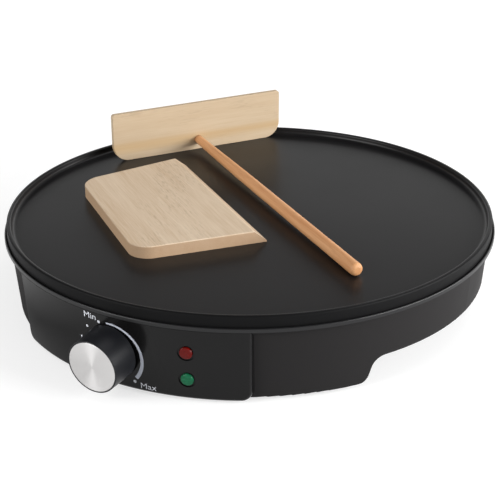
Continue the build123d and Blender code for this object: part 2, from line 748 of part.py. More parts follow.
def knob_spring_clip():
    """Open steel ring round the hub that grips it on the shaft."""
    ring = rod(HUB_R + 0.85, 7, 13) - rod(HUB_R + 0.05, 6, 14)
    return DIAL * (ring - block((-1.5, 1.5), (0, 2 * HUB_R), (6, 14)))


def thermostat_shaft():
    tail = -STAT_PAD_DEPTH - SHAFT_TAIL
    shaft = rod(SHAFT_R, tail, -STAT_PAD_DEPTH / 2) + d_shape(SHAFT_R, SHAFT_FLAT, -STAT_PAD_DEPTH / 2, shaft_end())
    return DIAL * shaft


def thermostat_body():
    low = -STAT_PAD_DEPTH - STAT_DEPTH
    half = STAT_SIDE / 2
    body = block((-half, half), (-half, half), (low, -STAT_PAD_DEPTH))
    body = fillet(body.edges().filter_by(Axis.Z), STAT_CORNER)
    body += rod(STAT_BUSH_R, -STAT_PAD_DEPTH, -PANEL_SKIN - SHAFT_FIT)
    for side in (-1, 1):
        for height in (-STAT_TAB_AT, STAT_TAB_AT):
            body += Pos(side * STAT_TAB_AT, height, low - STAT_TAB_L / 2) * Box(TAB_W, TAB_THICK, STAT_TAB_L)
        body -= Pos(side * STAT_SCREW_X, 0, 0) * rod(SCREW_M4_R + SCREW_FIT, -STAT_PAD_DEPTH - 7, 0)
    body -= rod(SHAFT_R + SHAFT_FIT, -STAT_PAD_DEPTH - SHAFT_TAIL - SHAFT_FIT, 0)
    return DIAL * body


def thermostat_screws():
    """Countersunk screws through the panel into the thermostat, hidden behind the knob."""
    head = Pos(0, 0, -SCREW_M4_HEAD / 2) * Cone(SCREW_M4_R, SCREW_M4_HEAD_R, SCREW_M4_HEAD)
    head -= block((-SCREW_M4_HEAD_R, SCREW_M4_HEAD_R), (-0.5, 0.5), (-0.8, PAST))
    screw = head + rod(SCREW_M4_R, -STAT_PAD_DEPTH - 6, -SCREW_M4_HEAD)
    return [DIAL * Pos(side * STAT_SCREW_X, 0, -STAT_SCREW_SINK) * screw for side in (-1, 1)]


# ---------------------------------------------------------------- lamps
def lamp_lens(z):
    lens = turned(
        (0, -PANEL_SKIN - LENS_FLANGE, 0),
        (LENS_FLANGE_R, -PANEL_SKIN - LENS_FLANGE, 0),
        (LENS_FLANGE_R, -PANEL_SKIN - 0.1, 0),
        (LENS_R, -PANEL_SKIN - 0.1, 0),
        (LENS_R, LENS_DOME - 0.4, 0.8),
        (LENS_R * 0.45, LENS_DOME, 4),
        (0, LENS_DOME, 0),
    )
    return face_plane(LAMP_AZ, z) * lens


def lamp_bodies():
    front = -PANEL_SKIN - LENS_FLANGE
    body = rod(LAMP_BODY_R, front - LAMP_BODY_L, front)
    body += rod(1.0, front - LAMP_BODY_L - LAMP_PIN_L, front - LAMP_BODY_L)
    return [face_plane(LAMP_AZ, z) * body for z in (LAMP_RED_Z, LAMP_GREEN_Z)]


def lamp_nuts():
    front = -PANEL_SKIN - LENS_FLANGE
    ring = rod(LAMP_NUT_R, front - LAMP_NUT, front)
    ring -= rod(LAMP_BODY_R + SCREW_FIT, front - 2 * LAMP_NUT, front + PAST)
    return [face_plane(LAMP_AZ, z) * ring for z in (LAMP_RED_Z, LAMP_GREEN_Z)]


# ---------------------------------------------------------------- tray under the controls
def control_box_cover():
    r_in, r_out = TRAY_R
    az_in, az_out = TRAY_AZ
    skin_az = degrees(TRAY_WALL / r_in)
    tray = sector(r_in, r_out, TRAY_Z, FLOOR_Z, az_in, az_out)
    tray -= sector(
        r_in + TRAY_WALL, r_out - TRAY_WALL, TRAY_Z + TRAY_WALL, FLOOR_Z + PAST, az_in + skin_az, az_out - skin_az
    )
    tray -= sector(r_in + 2 * TRAY_WALL, r_out + PAST, TRAY_SILL_Z, FLOOR_Z + PAST, *WINDOW_AZ)
    top = FLOOR_Z - TRAY_WALL
    tray += sector(r_in - TRAY_FLANGE, r_in + TRAY_WALL / 2, top, FLOOR_Z, az_in, az_out)
    for start, stop in ((az_in - TRAY_END_AZ, az_in + skin_az / 2), (az_out - skin_az / 2, az_out + TRAY_END_AZ)):
        tray += sector(r_in, r_out - 6, top, FLOOR_Z, start, stop)
    for place in cover_screw_places():
        tray -= Pos(*place) * rod(SCREW_M4_R + SCREW_FIT, top - PAST, FLOOR_Z + PAST)
    return tray


def cover_screw_places():
    r_in, r_out = TRAY_R
    az_in, az_out = TRAY_AZ
    for azimuth in (az_in + 5, az_out - 5):
        yield at(r_in - TRAY_FLANGE / 2, azimuth)
    for azimuth in (az_in - TRAY_END_AZ / 2, az_out + TRAY_END_AZ / 2):
        yield at((r_in + r_out) / 2, azimuth)


def cover_screws():
    screw = screw_up(SCREW_M4_R, COVER_SCREW_L, SCREW_M4_HEAD_R, SCREW_M4_HEAD)
    return [Pos(x, y, FLOOR_Z - TRAY_WALL) * screw for x, y, _ in cover_screw_places()]


# ---------------------------------------------------------------- inlet and wiring
def cord_gland():
    low, high = GLAND_PAD_Y
    gland = turned(
        (GLAND_BORE_R, low - GLAND_TAIL, 0),
        (GLAND_R, low - GLAND_TAIL, 0),
        (GLAND_R, high, 0),
        (GLAND_FLANGE_R, high, 0),
        (GLAND_FLANGE_R, high + GLAND_FLANGE, PAST),
        (GLAND_BORE_R, high + GLAND_FLANGE, 0),
    )
    return Pos(0, 0, GLAND_Z) * Rot(-90, 0, 0) * gland


def gland_nut():
    low = GLAND_PAD_Y[0]
    nut = extrude(RegularPolygon(GLAND_NUT_R, 6), GLAND_NUT) - Cylinder(GLAND_R + SCREW_FIT, 4 * GLAND_NUT)
    return Pos(0, low - GLAND_NUT, GLAND_Z) * Rot(-90, 0, 0) * nut


def terminal_block():
    x, y, z = BLOCK_SIZE
    low = FLOOR_TOP_Z + BLOCK_SEAT
    body = block((-x / 2, x / 2), (BLOCK_Y - y / 2, BLOCK_Y + y / 2), (low, low + z))
    body = chamfer(body.edges().group_by(Axis.Z)[-1], 1)
    for pole in (-1, 0, 1):
        body -= Pos(pole * x / 3, BLOCK_Y, low + 5) * Rot(90, 0, 0) * Cylinder(2, 2 * y)
        for side in (-1, 1):
            body -= Pos(pole * x / 3, BLOCK_Y + side * y / 4, low + z) * Cylinder(2, 2 * (z - 5))
    return body


def terminal_screws():
    x, y, z = BLOCK_SIZE
    top = FLOOR_TOP_Z + BLOCK_SEAT + z - 1
    screw = rod(1.8, top - 3.5, top) - block((-2, 2), (-0.3, 0.3), (top - 1, top + PAST))
    return [
        Pos(pole * x / 3, BLOCK_Y + side * y / 4, 0) * screw for pole in (-1, 0, 1) for side in (-1, 1)
    ]


FUSE_R = 2.2
FUSE_L = 14.0
FUSE_AT = (-38.0, 20.0)
FUSE_CLIP_W = 5.0
FUSE_CLIP_LUG = 5.0


def thermal_fuse():
    fuse = Rot(90, 0, 0) * Cylinder(FUSE_R, FUSE_L)
    for side in (-1, 1):
        fuse += Pos(0, side * (FUSE_L / 2 + 2.5), 0) * Rot(90, 0, 0) * Cylinder(0.6, 5)
    return Pos(*FUSE_AT, SHIELD_TOP_Z + FUSE_R + ELEMENT_FIT) * fuse


def fuse_clip():
    """Sheet saddle, riveted to the heat shield, that holds the cut-out down."""
    inner, outer = FUSE_R + 2 * ELEMENT_FIT, FUSE_R + 2 * ELEMENT_FIT + TAB_THICK
    middle, half = FUSE_R + ELEMENT_FIT, FUSE_CLIP_W / 2
    saddle = Rot(90, 0, 0) * (Cylinder(outer, FUSE_CLIP_W) - Cylinder(inner, 2 * FUSE_CLIP_W))
    saddle -= block((-2 * outer, 2 * outer), (-FUSE_CLIP_W, FUSE_CLIP_W), (-2 * outer, 0))
    for side in (-1, 1):
        ends = sorted((side * inner, side * outer))
        lug = sorted((side * inner, side * (outer + FUSE_CLIP_LUG)))
        saddle += block(ends, (-half, half), (-middle, 0))
        saddle += block(lug, (-half, half), (-middle, TAB_THICK - middle))
    return Pos(*FUSE_AT, SHIELD_TOP_Z + middle) * saddle


def capillary_tube():
    """From the thermostat's back, over the shield's rim and under the element, up to the sensor bulb."""
    back = DIAL * Pos(0, STAT_CAPILLARY_AT, -STAT_PAD_DEPTH - STAT_DEPTH - SHAFT_FIT)
    x, y, z = back.position
    slope = 2 * CAPILLARY_BEND
    return tube(
        CAPILLARY_R,
        CAPILLARY_BEND,
        (x, y, z),
        (x, y + CAPILLARY_STUB, z + CAPILLARY_STUB * tan(PANEL_TILT)),
        (BULB_X, y + CAPILLARY_STUB + PAST, CAPILLARY_Z),
        (BULB_X, BULB_Y - 2.2 * slope, CAPILLARY_Z),
        (BULB_X, BULB_Y - slope, BULB_Z),
        (BULB_X, BULB_Y, BULB_Z),
    )


def sensor_bulb():
    bulb = Rot(-90, 0, 0) * rod(BULB_R, 0, BULB_L)
    return Pos(BULB_X, BULB_Y, BULB_Z) * fillet(bulb.edges().filter_by(GeomType.CIRCLE), 1)


def stat_lead(x, y, step):
    """Point behind one of the thermostat's tabs."""
    return (DIAL * Pos(x, y, -STAT_PAD_DEPTH - STAT_DEPTH - STAT_TAB_L - ELEMENT_FIT - step)).position


def lamp_lead(z, step):
    """Point behind the pin of one of the lamps."""
    depth = -PANEL_SKIN - LENS_FLANGE - LAMP_BODY_L - LAMP_PIN_L - ELEMENT_FIT - step
    return (face_plane(LAMP_AZ, z) * Pos(0, 0, depth)).position


def wires():
    """Insulated leads, each from one terminal to the next, on the floor or rising through the shield."""
    x, y, _ = BLOCK_SIZE
    low = FLOOR_TOP_Z + WIRE_R + 0.3
    over = low + 3 * WIRE_R
    pole_z = FLOOR_TOP_Z + BLOCK_SEAT + 5
    front = BLOCK_Y - y / 2
    at_stat = STAT_TAB_AT
    (right_x, right_y), (left_x, left_y), (earth_x, earth_y) = wire_holes()
    (right_tip, inwards_r), (left_tip, inwards_l) = element_leg_tips()
    right_end = right_tip + inwards_r * (INSULATOR_L + TAB_L + ELEMENT_FIT)
    left_end = left_tip + inwards_l * (INSULATOR_L + TAB_L + ELEMENT_FIT)
    behind_stat = stat_lead(0, 0, 0).Y + WIRE_RISE

    def from_block(pole, level):
        pole_x = pole * x / 3
        rise = WIRE_RISE / 3
        return [(pole_x, front + 2, pole_z), (pole_x, front - rise, pole_z), (pole_x, front - 3 * rise, level)]

    neutral = from_block(-1, low) + [(left_x, left_y, low), (left_x, left_y, ELEMENT_Z), left_end]
    live = from_block(1, low) + [(WIRE_LANE_X, BLOCK_Y / 2, low), (WIRE_LANE_X, behind_stat + WIRE_TURN, low)]
    live += [(at_stat, behind_stat, low), stat_lead(at_stat, at_stat, 2 * WIRE_BEND), stat_lead(at_stat, at_stat, 0)]
    heat = [stat_lead(-at_stat, at_stat, 0), stat_lead(-at_stat, at_stat, 2 * WIRE_BEND), (-at_stat, behind_stat, low)]
    heat += [(-WIRE_LANE_X / 2, behind_stat / 2, low), (right_x, 0, low), (right_x, right_y, low)]
    heat += [(right_x, right_y, ELEMENT_Z), right_end]
    tag_z = CLAMP_TOP_Z - TAB_THICK / 2
    earth = from_block(0, over) + [(earth_x, BLOCK_Y / 2, over), (earth_x, earth_y, over), (earth_x, earth_y, tag_z)]
    earth += [(earth_x + TAG_WIRE_HOLE - ELEMENT_FIT, earth_y, tag_z)]
    runs = [neutral, live, heat, earth]
    for z, side in ((LAMP_RED_Z, -1), (LAMP_GREEN_Z, 1)):
        stat = [stat_lead(side * at_stat, -at_stat, step) for step in (1.5 * WIRE_BEND, 0)]
        runs.append([lamp_lead(z, 0), lamp_lead(z, 1.5 * WIRE_BEND), *stat])
    return [tube(WIRE_R, WIRE_BEND, *run) for run in runs]


# ---------------------------------------------------------------- feet
def rubber_feet():
    foot = turned(
        (0, 0, 0),
        (FOOT_R, 0, FOOT_ROUND),
        (FOOT_R, SKIRT_Z + FOOT_SINK, 0),
        (0, SKIRT_Z + FOOT_SINK, 0),
    )
    foot -= rod(SCREW_M4_HEAD_R + FOOT_FIT, -PAST, SKIRT_Z + FOOT_SINK / 2)
    foot -= rod(SCREW_M4_R + SCREW_FIT, 0, SKIRT_Z + FOOT_SINK + PAST)
    return [Pos(*at(FOOT_R_AT, azimuth)) * foot for azimuth in FOOT_AZ]


def foot_screws():
    screw = screw_up(SCREW_M4_R, FOOT_SCREW_L, SCREW_M4_HEAD_R, SCREW_M4_HEAD)
    return [Pos(*at(FOOT_R_AT, azimuth, SKIRT_Z + FOOT_SINK / 2)) * screw for azimuth in FOOT_AZ]


# ---------------------------------------------------------------- wooden tools
def tilt_to_rest():
    """Angle by which the spreader leans forward so that its handle's end touches the plate."""
    drop = HANDLE_HEIGHT - HANDLE_R_END
    return degrees(asin(drop / HANDLE_REACH))


def spreader_place():
    """Frame of the spreader, its blade's far end against the lip: x along the foot, y off the handle, z up."""
    a = radians(BLADE_HEADING)
    out = PLATE_R - BLADE_FROM_EDGE
    along = sqrt((PLATE_R - LIP_WIDTH - BLADE_LIP_GAP) ** 2 - (out + BLADE_THICK) ** 2) - BLADE_W
    x, y = along * cos(a) - out * sin(a), along * sin(a) + out * cos(a)
    upright = Plane(origin=(x, y, PLATE_Z), x_dir=(cos(a), sin(a), 0), z_dir=(0, 0, 1))
    return upright.location * Pos(0, 0, TOOL_LIFT) * Rot(tilt_to_rest(), 0, 0)


def spreader_blade():
    left, right = BLADE_FOOT_ROUND
    outline = FilletPolyline(
        (0, 0, 0),
        (BLADE_W, 0, 0),
        (BLADE_W, 0, BLADE_H),
        (0, 0, BLADE_H),
        radius=[left, right, BLADE_TOP_ROUND, BLADE_TOP_ROUND],
        close=True,
    )
    blade = extrude(make_face(outline), BLADE_THICK, dir=(0, 1, 0))
    blade = fillet(blade.edges().filter_by(lambda e: abs(e.center().Y) < 1e-6), BLADE_EDGE)
    hole = Pos(HANDLE_ALONG, 0, HANDLE_HEIGHT) * Rot(90, 0, 0) * Cylinder(HANDLE_R_BLADE + HANDLE_FIT, 4 * BLADE_THICK)
    return spreader_place() * (blade - hole)


def spreader_handle():
    """Tapered dowel, glued through the blade, with a round end."""
    dowel = turned(
        (0, -BLADE_THICK, 0),
        (HANDLE_R_BLADE, -BLADE_THICK, 0),
        (HANDLE_R_BLADE, 0, 0),
        (HANDLE_R_MIDDLE, HANDLE_TAPER, HANDLE_REACH),
        (HANDLE_R_END, HANDLE_REACH, 0.6 * HANDLE_R_END),
        (0, HANDLE_REACH, 0),
    )
    return spreader_place() * Pos(HANDLE_ALONG, 0, HANDLE_HEIGHT) * Rot(90, 0, 0) * dowel


def spatula():
    a = radians(SPATULA_HEADING)
    (back_x1, back_y1), (back_x2, back_y2) = SPATULA_BACK
    outline = FilletPolyline(
        (SPATULA_EDGE_FROM, 0, 0),
        (back_x1, -back_y1, 0),
        (back_x2, -back_y2, 0),
        (SPATULA_EDGE_TO, 0, 0),
        radius=[0, *SPATULA_ROUND, 0],
        close=True,
    )
    board = extrude(make_face(outline), SPATULA_THICK, dir=(0, 0, 1))
    wedge = make_face(
        Polyline(
            (0, 0, SPATULA_EDGE_THICK),
            (0, PAST, SPATULA_EDGE_THICK),
            (0, PAST, SPATULA_THICK + PAST),
            (0, -SPATULA_BEVEL, SPATULA_THICK + PAST),
            (0, -SPATULA_BEVEL, SPATULA_THICK),
            close=True,
        )
    )
    board -= extrude(wedge, 2 * SPATULA_EDGE_TO, dir=(1, 0, 0), both=True)
    top = [e for e in board.edges() if abs(e.center().Z - SPATULA_THICK) < 1e-6]
    soft = [e for e in top if e.center().Y < -SPATULA_BEVEL - PAST]
    board = fillet(soft, SPATULA_SOFTEN)
    x, y = SPATULA_AT
    place = Plane(origin=(x, y, PLATE_Z + TOOL_LIFT), x_dir=(cos(a), sin(a), 0), z_dir=(0, 0, 1))
    return place.location * board


# ---------------------------------------------------------------- write the nodes
NODES = {
    "hot_plate": hot_plate,
    "heating_element": heating_element,
    "element_insulators": element_insulators,
    "element_tabs": element_tabs,
    "element_clamps": element_clamps,
    "clamp_screws": clamp_screws,
    "earth_tag": earth_tag,
    "heat_shield": heat_shield,
    "plate_screws": plate_screws,
    "plate_washers": plate_washers,
    "base_housing": base_housing,
    "control_panel": control_panel,
    "panel_screws": panel_screws,
    "knob": knob,
    "knob_disc": knob_disc,
    "knob_spring_clip": knob_spring_clip,
    "thermostat_shaft": thermostat_shaft,
    "thermostat_body": thermostat_body,
    "thermostat_screws": thermostat_screws,
    "capillary_tube": capillary_tube,
    "sensor_bulb": sensor_bulb,
    "bulb_clip": bulb_clip,
    "lamp_lens_red": lambda: lamp_lens(LAMP_RED_Z),
    "lamp_lens_green": lambda: lamp_lens(LAMP_GREEN_Z),
    "lamp_bodies": lamp_bodies,
    "lamp_nuts": lamp_nuts,
    "control_box_cover": control_box_cover,
    "cover_screws": cover_screws,
    "cord_gland": cord_gland,
    "gland_nut": gland_nut,
    "terminal_block": terminal_block,
    "terminal_screws": terminal_screws,
    "thermal_fuse": thermal_fuse,
    "fuse_clip": fuse_clip,
    "wires": wires,
    "rubber_feet": rubber_feet,
    "foot_screws": foot_screws,
    "spreader_blade": spreader_blade,
    "spreader_handle": spreader_handle,
    "spatula": spatula,
}

os.makedirs("parts", exist_ok=True)
for name, make in NODES.items():
    shape = make()
    if isinstance(shape, list):
        shape = Compound(children=[solid for group in shape for solid in group.solids()])
    export_step(shape, f"parts/{name}.step")
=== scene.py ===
"""Electric crepe maker with its wooden spreader and spatula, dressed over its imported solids.

The file follows the machine as it is put together: housing, controls, what lies under the plate, the plate,
the feet, and then the two wooden tools that lie on it. Table, light and camera come last. Lengths are in
metres, +Z is up, -Y is the front.
"""

from math import atan2, cos, degrees, hypot, pi, radians, sin, sqrt, tan

import bmesh
import bpy
from mathutils import Matrix, Vector


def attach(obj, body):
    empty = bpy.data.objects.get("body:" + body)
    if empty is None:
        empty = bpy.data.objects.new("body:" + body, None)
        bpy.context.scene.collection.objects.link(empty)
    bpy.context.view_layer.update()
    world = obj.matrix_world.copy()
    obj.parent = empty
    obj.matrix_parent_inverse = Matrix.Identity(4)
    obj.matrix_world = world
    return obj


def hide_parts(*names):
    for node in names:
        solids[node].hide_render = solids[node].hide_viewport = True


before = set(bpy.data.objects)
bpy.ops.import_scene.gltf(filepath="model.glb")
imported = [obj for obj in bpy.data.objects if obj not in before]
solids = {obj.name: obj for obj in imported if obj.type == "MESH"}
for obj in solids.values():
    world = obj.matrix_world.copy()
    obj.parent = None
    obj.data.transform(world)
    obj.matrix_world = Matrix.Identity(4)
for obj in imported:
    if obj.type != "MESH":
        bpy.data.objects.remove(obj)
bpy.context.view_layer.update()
bpy.context.scene.view_settings.view_transform = "Standard"

# ---------------------------------------------------------------------------------------------------- housing
# The body is one injection moulding in black plastic: rim, wall, floor, skirts and screw posts. Its mould is
# spark-eroded, so the wall is matt and grained. The tray below the controls and the inlet bush with its nut
# come from the same plastic.


def finish(name, colour, roughness, metallic=0.0, specular=0.5):
    """Makes a material with a principled shader and returns it with that shader."""
    material = bpy.data.materials.new(name)
    material.use_nodes = True
    shader = material.node_tree.nodes["Principled BSDF"]
    shader.inputs["Base Color"].default_value = (*colour, 1)
    shader.inputs["Roughness"].default_value = roughness
    shader.inputs["Metallic"].default_value = metallic
    shader.inputs["Specular IOR Level"].default_value = specular
    material.diffuse_color = (*colour, 1)
    return material, shader


def wire(material, kind, sockets=None, **settings):
    """Adds a node to a material. A socket's value is a number, a colour or the output that feeds it."""
    node = material.node_tree.nodes.new(kind)
    for key, value in settings.items():
        setattr(node, key, value)
    for key, value in (sockets or {}).items():
        if isinstance(value, bpy.types.NodeSocket):
            material.node_tree.links.new(value, node.inputs[key])
        else:
            node.inputs[key].default_value = value
    return node


def feed(material, output, shader, socket):
    """Joins an output to a socket of the shader."""
    material.node_tree.links.new(output, shader.inputs[socket])


def place_in(material):
    """Place on the piece, in metres from the machine's middle."""
    return wire(material, "ShaderNodeTexCoord").outputs["Object"]


def speckle(material, place, scale, detail, rough=0.5):
    """Adds a noise pattern with so many cells to the metre and returns its value."""
    sockets = {"Vector": place, "Scale": scale, "Detail": detail, "Roughness": rough}
    return wire(material, "ShaderNodeTexNoise", sockets).outputs[0]


def ranged(material, value, low=0.0, high=1.0, to=(0.0, 1.0), **settings):
    """Takes a value from the range between low and high to another range and returns it."""
    sockets = {"Value": value, "From Min": low, "From Max": high, "To Min": to[0], "To Max": to[1]}
    return wire(material, "ShaderNodeMapRange", sockets, **settings).outputs[0]


def bumped(material, shader, height, depth, strength=0.5):
    """Gives a surface a fine relief."""
    bump = wire(material, "ShaderNodeBump", {"Height": height, "Distance": depth, "Strength": strength})
    feed(material, bump.outputs[0], shader, "Normal")


NOISE_SPAN = (0.3, 0.7)
CLOUD_SCALE = 14.0


def grained(material, shader, size, depth, rough):
    """Gives a moulded surface its fine grain and a sheen that varies a little between two roughnesses."""
    place = place_in(material)
    grain = speckle(material, place, 1 / size, detail=3.0)
    cloud = speckle(material, place, CLOUD_SCALE, detail=4.0)
    feed(material, ranged(material, cloud, *NOISE_SPAN, to=rough), shader, "Roughness")
    bumped(material, shader, grain, depth, strength=0.6)


def dress(material, *nodes):
    """Puts a material on solids of the frame."""
    for node in nodes:
        solids[node].data.materials.clear()
        solids[node].data.materials.append(material)


housing_black, housing_shader = finish(
    "housing_black", (0.0232, 0.0222, 0.0225), roughness=0.5, specular=0.03
)
grained(housing_black, housing_shader, size=0.0006, depth=0.00003, rough=(0.46, 0.54))
dress(housing_black, "base_housing", "control_box_cover", "cord_gland", "gland_nut")

# --------------------------------------------------------------------------------------------------- rim band
# The housing's mould is polished round the rim, so the rim shines as a narrow band. The band is drawn as a
# thin skin over the rim, from its inner edge across the top and down the outside to its foot.
RIM_R = 0.188
RIM_IN = 0.1868
RIM_TOP = 0.059
RIM_FOOT = 0.0559
RIM_ROUND = 0.0007
BAND_PROUD = 0.00004
BAND_LAP = 0.0004
BAND_DEEP = 0.0010
BAND_FOOT = RIM_FOOT + 0.0003
FULL_ROUND = 360


def rounded(corners, steps=7):
    """Profile through corners (radius, height, rounding), each rounded one turned into an arc."""
    line = []
    for i, (r, z, bend) in enumerate(corners):
        here = Vector((r, z))
        if not bend:
            line.append(here)
            continue
        back = (Vector(corners[i - 1][:2]) - here).normalized()
        on = (Vector(corners[(i + 1) % len(corners)][:2]) - here).normalized()
        half = back.angle(on) / 2
        middle = here + (back + on).normalized() * (bend / sin(half))
        start = here + back * (bend / tan(half)) - middle
        sweep = (pi - 2 * half) * (1 if back.x * on.y < back.y * on.x else -1)
        line += [middle + Matrix.Rotation(sweep * step / steps, 2) @ start for step in range(steps + 1)]
    return line


def turn(form, profile, segments, centre=(0, 0), finish_of=lambda r, z: 0):
    """Sweeps a profile once round an upright axis, closed to a fan on the axis. Level faces are flat.

    The radius and height of a face's middle tell finish_of which of the piece's materials it gets.
    """
    nothing = 1e-6
    rows = []
    for r, z in profile:
        count = segments if r > nothing else 1
        angles = [2 * pi * i / segments for i in range(count)]
        rows.append([form.verts.new((centre[0] + r * cos(a), centre[1] + r * sin(a), z)) for a in angles])
    for (low, high), (a, b) in zip(zip(profile, profile[1:]), zip(rows, rows[1:])):
        for i in range(segments):
            ring = [a[i % len(a)], a[(i + 1) % len(a)], b[(i + 1) % len(b)], b[i % len(b)]]
            face = form.faces.new(list(dict.fromkeys(ring)))
            face.smooth = abs(low[1] - high[1]) > nothing
            face.material_index = finish_of((low[0] + high[0]) / 2, (low[1] + high[1]) / 2)


def placed(name, form, *materials):
    """Makes a form into an object of the scene."""
    mesh = bpy.data.meshes.new(name)
    form.to_mesh(mesh)
    form.free()
    piece = bpy.data.objects.new(name, mesh)
    bpy.context.scene.collection.objects.link(piece)
    for material in materials:
        mesh.materials.append(material)
    return piece


def lay(name, form, body, slot, *materials):
    """Makes a form into a piece that rides on a body. Edges that turn by more than the crease are sharp."""
    crease = radians(40)
    bmesh.ops.recalc_face_normals(form, faces=form.faces)
    for edge in form.edges:
        edge.smooth = edge.calc_face_angle(0) < crease
    piece = placed(name, form, *materials)
    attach(piece, body)
    return piece


rim_polish, rim_shader = finish("rim_polish", (0.0120, 0.0120, 0.0128), roughness=0.3, specular=0.3)
grained(rim_polish, rim_shader, size=0.0005, depth=0.00001, rough=(0.27, 0.33))

band = bmesh.new()
band_profile = rounded(
    [
        (RIM_IN + BAND_LAP, RIM_TOP - BAND_DEEP, 0),
        (RIM_R - BAND_LAP, BAND_FOOT, 0),
        (RIM_R + BAND_PROUD, BAND_FOOT, 0),
        (RIM_R + BAND_PROUD, RIM_TOP + BAND_PROUD, RIM_ROUND),
        (RIM_IN + BAND_LAP, RIM_TOP + BAND_PROUD, 0),
    ]
)
turn(band, [*band_profile, band_profile[0]], FULL_ROUND)
bmesh.ops.remove_doubles(band, verts=band.verts, dist=1e-7)
lay("rim_band", band, "base", "black_plastic", rim_polish)

# ---------------------------------------------------------------------------------------------- control panel
# A separate black moulding, smoother than the housing, held by screws driven outwards from inside it. Its
# face is as round as the wall, leans outwards a little and comes flush with the rim at its top.
PANEL_FOOT_R = 0.1844
PANEL_TOP_R = 0.1880
PANEL_FOOT_Z = 0.002
PANEL_TOP_Z = 0.05585
PANEL_LEAN = atan2(PANEL_TOP_R - PANEL_FOOT_R, PANEL_TOP_Z - PANEL_FOOT_Z)

panel_black, panel_shader = finish("panel_black", (0.0062, 0.0060, 0.0062), roughness=0.22, specular=0.18)
grained(panel_black, panel_shader, size=0.0005, depth=0.000012, rough=(0.13, 0.17))
dress(panel_black, "control_panel")

# ------------------------------------------------------------------------------------------------------- dial
# Printed round the knob in light grey ink: three dots and the word Min, an arc that widens clockwise, a dot
# and the word Max. The ink lies on the panel's round, leaning face.
DIAL_X, DIAL_Z = 0.0002, 0.0270
ARC_R = 0.02335
ARC_FROM, ARC_TO = -7.0, 130.0
ARC_THIN, ARC_GAIN, ARC_FLARE = 0.0012, 0.0012, 0.0004
INK_LIFT = 0.00005


def panel_radius(z):
    """Radius of the panel's face at a height."""
    slope = (PANEL_TOP_R - PANEL_FOOT_R) / (PANEL_TOP_Z - PANEL_FOOT_Z)
    return PANEL_FOOT_R + slope * (z - PANEL_FOOT_Z)


def on_panel(x, y):
    """Point of ink at x to the right and y up from the dial's centre, laid on the panel's round face."""
    across, z = DIAL_X + x, DIAL_Z + y * cos(PANEL_LEAN)
    radius = panel_radius(z) + INK_LIFT
    return Vector((across, -sqrt(radius * radius - across * across), z))


def clock(angle, radius):
    """Point of the dial at a clock angle in degrees."""
    return radius * sin(radians(angle)), radius * cos(radians(angle))


def inked_ring(rim):
    """Ink patch from two matching rows of points."""
    ink = bmesh.new()
    rows = [[ink.verts.new(on_panel(x, y)) for x, y in row] for row in rim]
    for a, b, c, d in zip(rows[0], rows[0][1:], rows[1][1:], rows[1]):
        ink.faces.new((a, b, c, d))
    return ink


def inked_arc():
    """Arc that widens clockwise from a thin end to a broad one."""
    steps = 96
    inner, outer = [], []
    for step in range(steps + 1):
        part = step / steps
        width = ARC_THIN + ARC_GAIN * part + ARC_FLARE * part * part
        angle = ARC_FROM + (ARC_TO - ARC_FROM) * part
        inner.append(clock(angle, ARC_R - width / 2))
        outer.append(clock(angle, ARC_R + width / 2))
    return inked_ring((outer, inner))


def inked_dot(angle, radius, across):
    """Round dot of ink."""
    ink = bmesh.new()
    x, y = clock(angle, radius)
    corners = 24
    turns = [2 * pi * i / corners for i in range(corners)]
    ink.faces.new([ink.verts.new(on_panel(x + across / 2 * cos(a), y + across / 2 * sin(a))) for a in turns])
    return ink


def inked_word(word, left, foot, width, height):
    """A plain dial word, its letters laid on the panel between two heights."""
    text = bpy.data.curves.new(word, "FONT")
    text.body = word
    text.resolution_u = 4
    letters = bpy.data.objects.new(word, text)
    flat = bpy.data.meshes.new_from_object(letters)
    xs = [v.co.x for v in flat.vertices]
    ys = [v.co.y for v in flat.vertices]
    low_x, high_x, low_y, high_y = min(xs), max(xs), min(ys), max(ys)
    ink = bmesh.new()
    ink.from_mesh(flat)
    for vert in ink.verts:
        across = (vert.co.x - low_x) / (high_x - low_x)
        up = (vert.co.y - low_y) / (high_y - low_y)
        vert.co = on_panel(left + width * across, foot + height * up)
    bpy.data.objects.remove(letters)
    bpy.data.curves.remove(text)
    bpy.data.meshes.remove(flat)
    return ink


def printed(name, patches, material):
    """Joins patches of ink into one print that rides with the machine."""
    sheet = bmesh.new()
    for patch in patches:
        part = bpy.data.meshes.new("patch")
        patch.to_mesh(part)
        patch.free()
        sheet.from_mesh(part)
        bpy.data.meshes.remove(part)
    for face in sheet.faces:
        face.normal_update()
        middle = face.calc_center_median()
        if face.normal.dot(Vector((middle.x, middle.y, 0))) < 0:
            face.normal_flip()
    piece = placed(name, sheet, material)
    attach(piece, "base")


dial_ink, ink_shader = finish("dial_ink", (0.78, 0.80, 0.86), roughness=0.5)
grained(dial_ink, ink_shader, size=0.0004, depth=0.00001, rough=(0.45, 0.55))
scale_ink, scale_shader = finish("scale_ink", (0.57, 0.60, 0.68), roughness=0.5)
grained(scale_ink, scale_shader, size=0.0004, depth=0.00001, rough=(0.45, 0.55))
printed("dial_arc", [inked_arc()], scale_ink)
dots = [
    inked_dot(angle=-21.5, radius=0.0245, across=0.0022),
    inked_dot(angle=-50.3, radius=0.0257, across=0.0019),
    inked_dot(angle=-76.2, radius=0.0271, across=0.0014),
    inked_dot(angle=137.6, radius=0.0244, across=0.0023),
]
printed("dial_dots", dots, dial_ink)
words = [
    inked_word("Min", left=-0.0215, foot=0.0234, width=0.0102, height=0.0045),
    inked_word("Max", left=0.0208, foot=-0.0224, width=0.0116, height=0.0044),
]
printed("dial_words", words, dial_ink)

# ----------------------------------------------------------------------------------------------------- lamps
# Two clear plastic lenses, red for power and green for ready, pressed in from behind, each over a neon lamp
# in a natural nylon body that a push-on steel nut holds.


